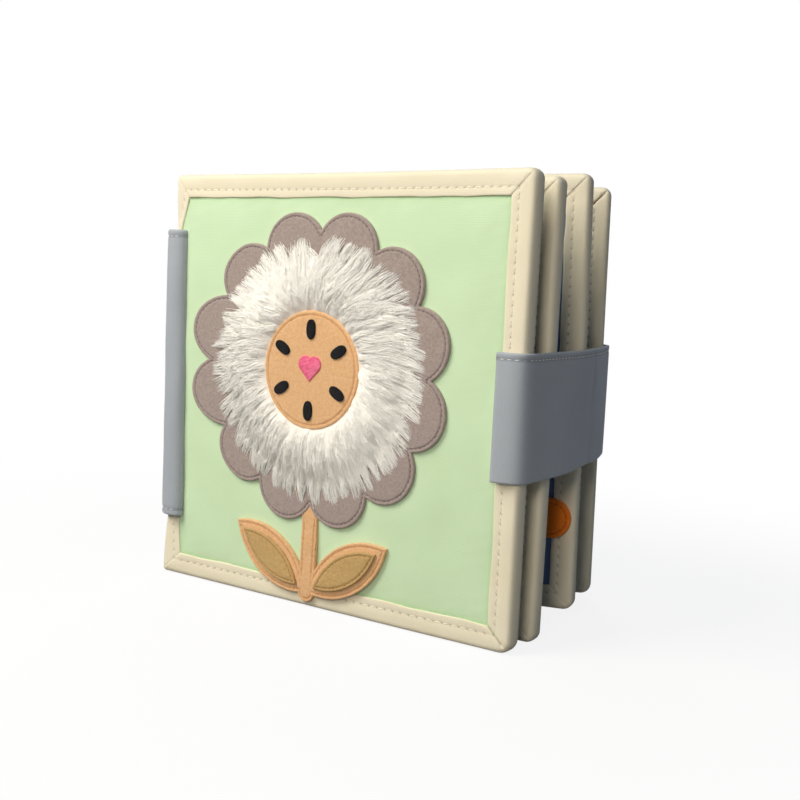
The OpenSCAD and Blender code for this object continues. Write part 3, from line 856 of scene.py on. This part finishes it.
def petals_outline(a):
    """Distance to the edge of the ring of petals: R cos p + sqrt(r^2 - R^2 sin^2 p), where p is
    the angle to the nearest petal's middle."""
    sector = 2 * math.pi / PETALS
    p = np.mod(a, sector) - sector / 2
    return PETAL_RING_R * np.cos(p) + np.sqrt(PETAL_R**2 - (PETAL_RING_R * np.sin(p)) ** 2)


def area_m2(outline):
    """Area inside an outline, in square metres."""
    return float(math.pi * (outline(np.linspace(0, 2 * math.pi, 721)[:-1]) ** 2).mean() * MM**2)


def flat_at(depth):
    """Depth of a felt piece's back where what it lies on is flat."""
    return lambda x, z: depth + 0 * x


on_panel = flat_at(0.5)
petals, petals_thread = sewn_felt(
    ("flower_petals_felt", "flower_petals_stitches"), "flower_petals", "grey_felt",
    (0, FLOWER, petals_outline, on_panel, FELT_T), grey_felt, grey_thread, steps=660)
area_m2(petals_outline)

# Fur ring
# Ivory pile fabric, cut as a ring and sewn over the petals. Its nap lies outwards and down in
# overlapping pointed locks about 12 mm long. Real hairs are 0.05 mm thick, too many and too fine
# to model: the mass of the locks is one relief, and coarser hairs lie on it.
FUR_IN_R = 26.0
FUR_OUT_R = 51.0
FUR_BASE = -1.3
PILE_H = 8.0
LOCKS = 620
LOCK_L = 12.0
LOCK_HALF_W = 2.0
LOCK_RELIEF = 1.1
HAIRS = 6800
HAIR_T = 0.24
FUR_SEED = 900
FUR_COLUMNS = 50
white_fur, tree, shader = cloth("Ivory pile fabric", 0.8, 0.3, 0.2)
# The ramp's darker end is painted shade: on the mass it darkens the hollows between the locks, and on the
# hairs it darkens them towards their roots, where each hair also has a random tone of its own.
pile_shade_and_tone = node(tree, "ShaderNodeAttribute", attribute_name="along").outputs["Fac"]
ramp = node(tree, "ShaderNodeValToRGB", [(pile_shade_and_tone, "Fac")])
ramp.color_ramp.elements[0].color = linear("#FAF4E8")
ramp.color_ramp.elements[1].color = linear("#FFFDF6")
ramp.color_ramp.elements[1].position = 0.75
tree.links.new(ramp.outputs["Color"], shader.inputs["Base Color"])
where = node(tree, "ShaderNodeTexCoord").outputs["UV"]
# Across the nap the strands are 0.5 mm apart, and along it they run for about 6 mm.
drawn_out = node(tree, "ShaderNodeMapping", [(where, "Vector")], in_Scale=(2000.0, 160.0, 1.0))
strands = node(tree, "ShaderNodeTexNoise", [(drawn_out.outputs[0], "Vector")], in_Scale=1.0, in_Detail=3.0)
roughen(tree, shader, strands.outputs["Fac"], 0.5, 0.0004)


def scattered(draw, count):
    """Plan points spread evenly over the fur ring."""
    turn = draw.uniform(0, 2 * math.pi, count)
    radius = np.sqrt(draw.uniform(FUR_IN_R**2, FUR_OUT_R**2, count))
    return np.stack([FLOWER[0] + radius * np.cos(turn), FLOWER[1] + radius * np.sin(turn)], 1)


def nap(root, draw, scatter):
    """Unit direction of the nap at a root: out from the flower's middle and somewhat down."""
    return unit(unit(root - FLOWER) + [0.0, -0.42] + draw.normal(0, scatter, root.shape))


lock_draw = np.random.default_rng(FUR_SEED)
lock_root = scattered(lock_draw, LOCKS)
lock_nap = nap(lock_root, lock_draw, 0.22)
lock_l = LOCK_L * lock_draw.uniform(0.75, 1.25, LOCKS)
lock_w = LOCK_HALF_W * lock_draw.uniform(0.7, 1.25, LOCKS)
lock_h = LOCK_RELIEF * lock_draw.uniform(0.6, 1.15, LOCKS)


def pile_relief(q):
    """Height of the locks at plan points, the highest lock there. Each is a tongue: along it the
    height is sin(pi s^0.6) and its width narrows as 1 - s^2, and across it is sqrt(1 - w^2)."""
    highest = np.zeros(q.shape[:-1])
    for root, run, long, wide, high in zip(lock_root, lock_nap, lock_l, lock_w, lock_h):
        away = q - root
        s = np.clip(away @ run / long, 0, 1)
        w = (away @ np.array([-run[1], run[0]])) / (wide * (1 - s**2) + 0.01)
        tongue = high * np.sin(math.pi * s**0.6) * np.sqrt(np.clip(1 - w**2, 0, 1))
        highest = np.maximum(highest, tongue)
    return highest


def pile_height(q):
    """Height of the pile's mass over the backing: a crown nearer the outside that the hairs carry
    down past the rim, and the locks' relief on it."""
    u = (np.linalg.norm(q - FLOWER, axis=-1) - FUR_IN_R) / (FUR_OUT_R - FUR_IN_R)
    inside = np.clip(u, 0, 1)
    crown = (0.4 + 0.6 * np.sin(math.pi * inside**0.8)) * (1 - inside**6 / 2)
    past = np.clip(1 - (u - 1) / 0.45, 0, 1) ** 0.7
    relief = pile_relief(q)
    return (0.68 * PILE_H * crown + relief) * np.where(u > 1, past, 1), relief


def fur_mass():
    """The locks as one closed ring over the backing, with an uneven outer edge."""
    a = np.linspace(0, 2 * math.pi, 541)[:-1, None]
    ragged = unevenness(FUR_OUT_R * np.cos(a), FUR_OUT_R * np.sin(a), seed=41, longest=9.0, height=0.7)
    out_r = FUR_OUT_R + 1.0 + ragged
    over = FUR_IN_R + (out_r - FUR_IN_R) * np.linspace(0, 1, FUR_COLUMNS)
    under = FUR_IN_R + (out_r - FUR_IN_R) * np.linspace(1, 0, 3)
    r = np.concatenate([over, under], 1)
    q = np.stack([FLOWER[0] + r * np.cos(a), FLOWER[1] + r * np.sin(a)], -1)
    high, relief = pile_height(q[:, :FUR_COLUMNS])
    high[:, [0, -1]] = 0.2
    y = FUR_BASE - np.concatenate([high, np.zeros(under.shape)], 1)
    # Painted shade: darker in the hollows between the locks, lighter on their crests.
    painted_shade_mark = np.concatenate([0.35 + 0.5 * relief / LOCK_RELIEF, np.zeros(under.shape)], 1)
    round_ring = np.append(a[:, 0], 2 * math.pi) * 40 * MM
    across = np.append(r[0], r[0, 0]) * MM
    return skin("flower_fur_mass", lay(0, q[..., 0], y, q[..., 1]), white_fur, joined=True,
                uv=(round_ring, across), marks={"along": painted_shade_mark})


def hairs(name, seed):
    """Hairs as thin three-sided cones of four rings, flat underneath. Root to tip each follows the
    nap over the mass, lifts off it in the middle, and is drawn to its lock's middle at the tip."""
    draw = np.random.default_rng(seed)
    root = scattered(draw, HAIRS)
    own = np.argmin(((root[:, None] - lock_root[None]) ** 2).sum(-1), axis=1)
    t = np.linspace(0, 1, 5)
    along = lock_l[own][:, None, None] * t[:, None]
    lie = 0.5 * nap(root, draw, 0.18) + 0.5 * lock_nap[own]
    plan = root[:, None] + lie[:, None] * along * draw.uniform(0.8, 1.2, (HAIRS, 1, 1))
    lock_plan = lock_root[own][:, None] + lock_nap[own][:, None] * along
    plan = plan + (lock_plan - plan) * (0.5 * t**1.4)[:, None]
    lift = draw.gamma(2.0, 0.16, HAIRS)[:, None] * np.sin(math.pi * t**0.8)
    depth = FUR_BASE - pile_height(plan)[0] - lift - 0.08 + 0.5 * (1 - t) ** 3
    middle = lay(0, plan[..., 0], depth, plan[..., 1])
    run = unit(np.gradient(middle, axis=1))
    side = unit(np.cross(run, [0.0, -1.0, 0.05]))
    up = np.cross(side, run)
    ring = side[:, :4, None] * np.array([[1.0], [-1.0], [0.0]])
    ring = ring + up[:, :4, None] * np.array([[-0.1], [-0.1], [0.4]])
    width = HAIR_T / 2 * np.array([1.1, 1.1, 0.95, 0.7])
    body = middle[:, :4, None] + ring * width[:, None, None]
    points = np.concatenate([body.reshape(-1, 12, 3), middle[:, 4:5]], 1)
    tips = np.array([[9, 12, 10], [10, 12, 11], [11, 12, 9], [0, 1, 2]])
    first = (np.arange(HAIRS) * 13)[:, None, None]
    faces = (tube_walls(4, 3) + first).reshape(-1, 4).tolist() + (tips + first).reshape(-1, 3).tolist()
    piece = as_object(name, points.reshape(-1, 3), faces, white_fur, rounded=False)
    # Each hair's random tone, times painted shade that darkens it towards the root.
    tone = draw.uniform(0.7, 1.1, HAIRS)[:, None] * np.append(np.repeat([0.5, 0.7, 0.85, 0.95], 3), 1.0)
    piece.data.attributes.new("along", "FLOAT", "POINT").data.foreach_set("value", tone.ravel())
    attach(piece, "front_cover")


fur = fur_mass()
for k in (1, 2):
    hairs(f"flower_fur_pile_{k}", FUR_SEED + k)
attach(fur, "front_cover")
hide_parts("flower_fur")

# Flower middle
# A disc of peach felt over a thin pad, stitched near its edge. Six ovals of black felt stand in a
# ring on it, round a small heart in pink satin stitch.
CENTRE_R = 27.0
CENTRE_BACK = -1.2
CENTRE_FRONT = -5.0
SEEDS = 6
SEED_RING_R = 18.5
SEED_L = 9.0
SEED_W = 5.0
SEED_T = 1.0
peach_felt = felt_material("Peach wool felt", "#E8B27A", "#F2C593", "#B5743C")
peach_thread = plain_thread("Apricot sewing thread", "#D9975A")
black_felt = felt_material("Black wool felt", "#101012", "#1D1D20", "#080808", 0.1)


def disc_outline(a):
    """Distance to the edge of the felt disc."""
    return CENTRE_R + 0 * a


def seed_outline(a):
    """Distance to the edge of an oval: a superellipse of power 2.3."""
    return ((np.abs(np.cos(a)) * 2 / SEED_L) ** 2.3 + (np.abs(np.sin(a)) * 2 / SEED_W) ** 2.3) ** (-1 / 2.3)


on_fur = flat_at(CENTRE_BACK)
on_centre = flat_at(CENTRE_FRONT - 0.2)
centre, _ = sewn_felt(
    ("flower_centre_felt", "flower_centre_stitches"), "flower_centre", "peach_felt",
    (0, FLOWER, disc_outline, on_fur, CENTRE_BACK - CENTRE_FRONT), peach_felt, peach_thread, seam=2.0)
for k in range(SEEDS):
    a = 2 * math.pi * k / SEEDS + math.radians(30)
    place = (FLOWER[0] + SEED_RING_R * math.cos(a), FLOWER[1] + SEED_RING_R * math.sin(a))
    seed = felt_piece(f"flower_seed_{k + 1}", 0, place, seed_outline, on_centre, SEED_T, black_felt,
                      turned=a, seam=0, dome=0.3, steps=72)
    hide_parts("flower_seeds")

HEART_MIDDLE = (FLOWER[0], FLOWER[1] + 0.7)
HEART_LOBE_R = 3.75
HEART_LOBE = (2.65, 2.0)
HEART_FLANK = 4.21
# Satin stitch lays glossy threads side by side, 0.4 mm apart, drawn at 0.6 mm to show.
SATIN_THREAD_M = 0.0006
pink_satin, tree, shader = cloth("Pink satin stitch", 0.35, 0.2, 0.5)
where = node(tree, "ShaderNodeTexCoord").outputs["Object"]
colour = dye(tree, where, "#EE4478", "#FA6A94", 0.0016)
tree.links.new(colour, shader.inputs["Base Color"])
laid = node(tree, "ShaderNodeTexWave", [(where, "Vector")], bands_direction="Z",
            in_Scale=math.pi / (10 * SATIN_THREAD_M), in_Distortion=2.5, in_Detail=1.0)
roughen(tree, shader, laid.outputs["Fac"], 0.6, 0.0003)


def heart_outline(a):
    """Distance to a heart's edge from its middle: straight flanks at 45 degrees below the point
    where they touch the two round lobes, and the lobe on the same side above it."""
    c, s = np.abs(np.cos(a)), np.sin(a)
    toward = HEART_LOBE[0] * c + HEART_LOBE[1] * s
    inside = HEART_LOBE_R**2 - HEART_LOBE[0] ** 2 - HEART_LOBE[1] ** 2
    lobe = toward + np.sqrt(np.clip(inside + toward**2, 0, None))
    flank = HEART_FLANK * math.sqrt(2) / np.maximum(c - s, 0.1)
    return np.where(s < -0.122, flank, lobe)


heart = felt_piece("flower_heart_satin", 0, HEART_MIDDLE, heart_outline, on_centre, 0.7, pink_satin,
                   seam=0, dome=0.7, steps=120)
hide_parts("flower_heart")

# Stem and leaves
# A strip and two pointed leaves of peach felt, with caramel felt inlays, sewn down inside their
# edges. They lie on the panel and run out over the edging tape at the cover's foot.
STEM_FOOT = 3.0
STEM_W = 9.0
STEM_TOP = 50.0
LEAF_L = 52.0
LEAF_ARC_R = 36.0
LEAF_ANGLE = math.radians(58)
INLAY_MARGIN = 4.0
INLAY_T = 1.4
caramel_felt = felt_material("Caramel wool felt", "#C59E60", "#D3B074", "#8A6634")
caramel_thread = plain_thread("Brown sewing thread", "#A87A42")


def over_tape(x, z):
    """Depth of the back of felt that lies on the panel and bridges up onto the tape."""
    return -0.35 + 0.65 * smooth(TAPE_W, TAPE_W + 13, z)


def under_petals(x, z):
    """Depth of the stem's back: as over_tape, and pressed into the panel where the petals cover it."""
    return over_tape(x, z) + 0.6 * smooth(26, 40, z)


def over_leaf(x, z):
    """Depth of an inlay's back, on a leaf's face."""
    return over_tape(x, z) - FELT_T - 0.1


def round_ended(length, width, way):
    """Outline of a strip from its middle, straight across one end and half round at the other,
    which points to +x where way is 1 and to -x where it is -1."""
    half_l, half_w = length / 2, width / 2
    centre = half_l - half_w

    def outline(a):
        c, s = way * np.cos(a), np.abs(np.sin(a))
        flank = half_w / np.maximum(s, 1e-6)
        straight = half_l / np.maximum(-c, 1e-6)
        rounded = centre * c + np.sqrt(np.clip(half_w**2 - centre**2 * s**2, 0, None))
        return np.where(c < 0, np.minimum(flank, straight), np.where(c * flank < centre, flank, rounded))

    return outline


def leaf_outline(margin):
    """Outline of a leaf between two arcs, from its middle: -h |sin| + sqrt(R^2 - h^2 cos^2), where
    R is the arcs' radius less the margin and h how far their centres stand off."""
    stand_off = math.sqrt(LEAF_ARC_R**2 - (LEAF_L / 2) ** 2)
    radius = LEAF_ARC_R - margin
    return lambda a: -stand_off * np.abs(np.sin(a)) + np.sqrt(radius**2 - (stand_off * np.cos(a)) ** 2)


stem_outline = round_ended(STEM_TOP - STEM_FOOT, STEM_W, -1)
stem_middle = (FLOWER[0], (STEM_FOOT + STEM_TOP) / 2)
upright = math.pi / 2
stem, stem_thread = sewn_felt(
    ("flower_stem_felt", "flower_stem_stitches"), "flower_stem", "peach_felt",
    (0, stem_middle, stem_outline, under_petals, FELT_T), peach_felt, peach_thread,
    turned=upright, seam=1.6, dome=0.1, steps=360)
area_m2(stem_outline)
whole_leaf = leaf_outline(0)
inlay_leaf = leaf_outline(INLAY_MARGIN)
for side, name in ((-1, "left"), (1, "right")):
    turned = upright - side * LEAF_ANGLE
    middle = (FLOWER[0] + side * math.sin(LEAF_ANGLE) * LEAF_L / 2,
              STEM_FOOT + STEM_W / 2 + math.cos(LEAF_ANGLE) * LEAF_L / 2)
    leaf, leaf_thread = sewn_felt(
        (f"flower_{name}_leaf_felt", f"flower_{name}_leaf_stitches"), "flower_leaves", "peach_felt",
        (0, middle, whole_leaf, over_tape, FELT_T), peach_felt, peach_thread,
        turned=turned, seam=1.7, dome=0.1, steps=300)
    area_m2(whole_leaf)
    inlay, inlay_thread = sewn_felt(
        (f"flower_{name}_leaf_inlay", f"flower_{name}_inlay_stitches"), "flower_leaf_inlays", "caramel_felt",
        (0, middle, inlay_leaf, over_leaf, INLAY_T), caramel_felt, caramel_thread,
        turned=turned, seam=1.5, dome=0.2, steps=240)
    area_m2(inlay_leaf)

# Felt tab
# A short pull of orange felt with a round end, sewn over the second leaf's tape near its foot.
TAB_L = 30.0
TAB_H = 18.5
TAB_Z = 43.0
TAB_INSET = 2.0
orange_felt = felt_material("Orange wool felt", "#FA7D16", "#FF8A24", "#B04E0C")
orange_thread = plain_thread("Rust sewing thread", "#C05F12")
tab_outline = round_ended(TAB_L, TAB_H, 1)
on_leaf_tape = flat_at(-0.25)
tab_middle = (PAGE_W - TAB_INSET - TAB_L / 2, TAB_Z)
tab, tab_thread = sewn_felt(
    ("felt_tab_felt", "felt_tab_stitches"), "felt_tab", "orange_felt",
    (2, tab_middle, tab_outline, on_leaf_tape, FELT_T), orange_felt, orange_thread,
    seam=2.2, radius=0.34, dome=0.2, steps=240)
area_m2(tab_outline)

# Floor and light
# A plain white floor and surround. One broad warm lamp at the upper left lights the front cover, a
# weaker one at the right reaches into the gaps, a third lights the back and the spine, and the blue
# surround lights the rest.
FLOOR_HALF_M = 6.0
SHADE_NEAR_M = 0.16
SHADE_FAR_M = 0.42
floor_mesh = bpy.data.meshes.new("floor")
corners = [(x * FLOOR_HALF_M, y * FLOOR_HALF_M, 0) for x, y in ((-1, -1), (1, -1), (1, 1), (-1, 1))]
floor_mesh.from_pydata(corners, [], [(0, 1, 2, 3)])
floor = bpy.data.objects.new("floor", floor_mesh)
bpy.context.scene.collection.objects.link(floor)


def seen(tree):
    """1 for the rays that show the surround itself, straight on or in something glossy or clear."""
    rays = node(tree, "ShaderNodeLightPath").outputs
    mirrored = node(tree, "ShaderNodeMath", [(rays["Is Glossy Ray"], 0), (rays["Is Transmission Ray"], 1)],
                    operation="MAXIMUM")
    return node(tree, "ShaderNodeMath", [(rays["Is Camera Ray"], 0), (mirrored.outputs[0], 1)],
                operation="MAXIMUM").outputs[0]


# The floor throws little light back at the book. Its own white fades from a surface that takes
# the book's shadow, close by, to plain white further out.
white_floor = bpy.data.materials.new("White studio floor")
white_floor.use_nodes = True
tree = white_floor.node_tree
shader = tree.nodes["Principled BSDF"]
shader.inputs["Roughness"].default_value = 0.9
in_view = seen(tree)
tone = node(tree, "ShaderNodeMix", [(in_view, 0)], data_type="RGBA", in_6=linear("#787878"),
            in_7=linear("#F6F6F6"))
tree.links.new(tone.outputs[2], shader.inputs["Base Color"])
place = node(tree, "ShaderNodeTexCoord").outputs["Object"]
reach = node(tree, "ShaderNodeVectorMath", [(place, 0)], operation="LENGTH").outputs["Value"]
fade = node(tree, "ShaderNodeMapRange", [(reach, "Value")], interpolation_type="SMOOTHSTEP",
            in_From_Min=SHADE_NEAR_M, in_From_Max=SHADE_FAR_M, in_To_Min=0.86, in_To_Max=1.0)
share = node(tree, "ShaderNodeMath", [(in_view, 0), (fade.outputs[0], 1)], operation="MULTIPLY")
glow = node(tree, "ShaderNodeEmission", in_Color=(1, 1, 1, 1), in_Strength=1.0)
mixed = node(tree, "ShaderNodeMixShader",
             [(share.outputs[0], 0), (shader.outputs[0], 1), (glow.outputs[0], 2)])
tree.links.new(mixed.outputs[0], tree.nodes["Material Output"].inputs["Surface"])
floor_mesh.materials.append(white_floor)

world = bpy.data.worlds.new("white surround")
bpy.context.scene.world = world
world.use_nodes = True
tree = world.node_tree
sky = tree.nodes["Background"]
sky.inputs["Color"].default_value = (0.47, 0.7, 1.0, 1)
sky.inputs["Strength"].default_value = 0.13
white = node(tree, "ShaderNodeBackground", in_Color=(1, 1, 1, 1), in_Strength=1.0)
mixed = node(tree, "ShaderNodeMixShader", [(seen(tree), 0), (sky.outputs[0], 1), (white.outputs[0], 2)])
tree.links.new(mixed.outputs[0], tree.nodes["World Output"].inputs["Surface"])


def soft_lamp(name, at_m, size_m, watts, colour):
    """Square lamp of the size at a place, turned to the middle of the book."""
    lamp = bpy.data.lights.new(name, "AREA")
    lamp.size = size_m
    lamp.energy = watts
    lamp.color = colour
    back = unit(np.array(at_m) - [0.0, 0.0, 0.1])
    right = unit(np.cross([0.0, 0.0, 1.0], back))
    stand = np.eye(4)
    stand[:3] = np.stack([right, np.cross(back, right), back, at_m], 1)
    placed = bpy.data.objects.new(name, lamp)
    placed.matrix_world = Matrix(stand.tolist())
    bpy.context.scene.collection.objects.link(placed)


soft_lamp("key lamp", (-0.38, -0.68, 0.86), 0.6, 10.7, (1.0, 0.96, 0.88))
soft_lamp("right lamp", (0.42, -1.20, 0.62), 0.35, 5.3, (1.0, 0.91, 0.82))
soft_lamp("back lamp", (-0.75, 1.05, 0.35), 0.5, 6.5, (1.0, 0.96, 0.9))

bpy.context.scene.view_settings.view_transform = "Standard"
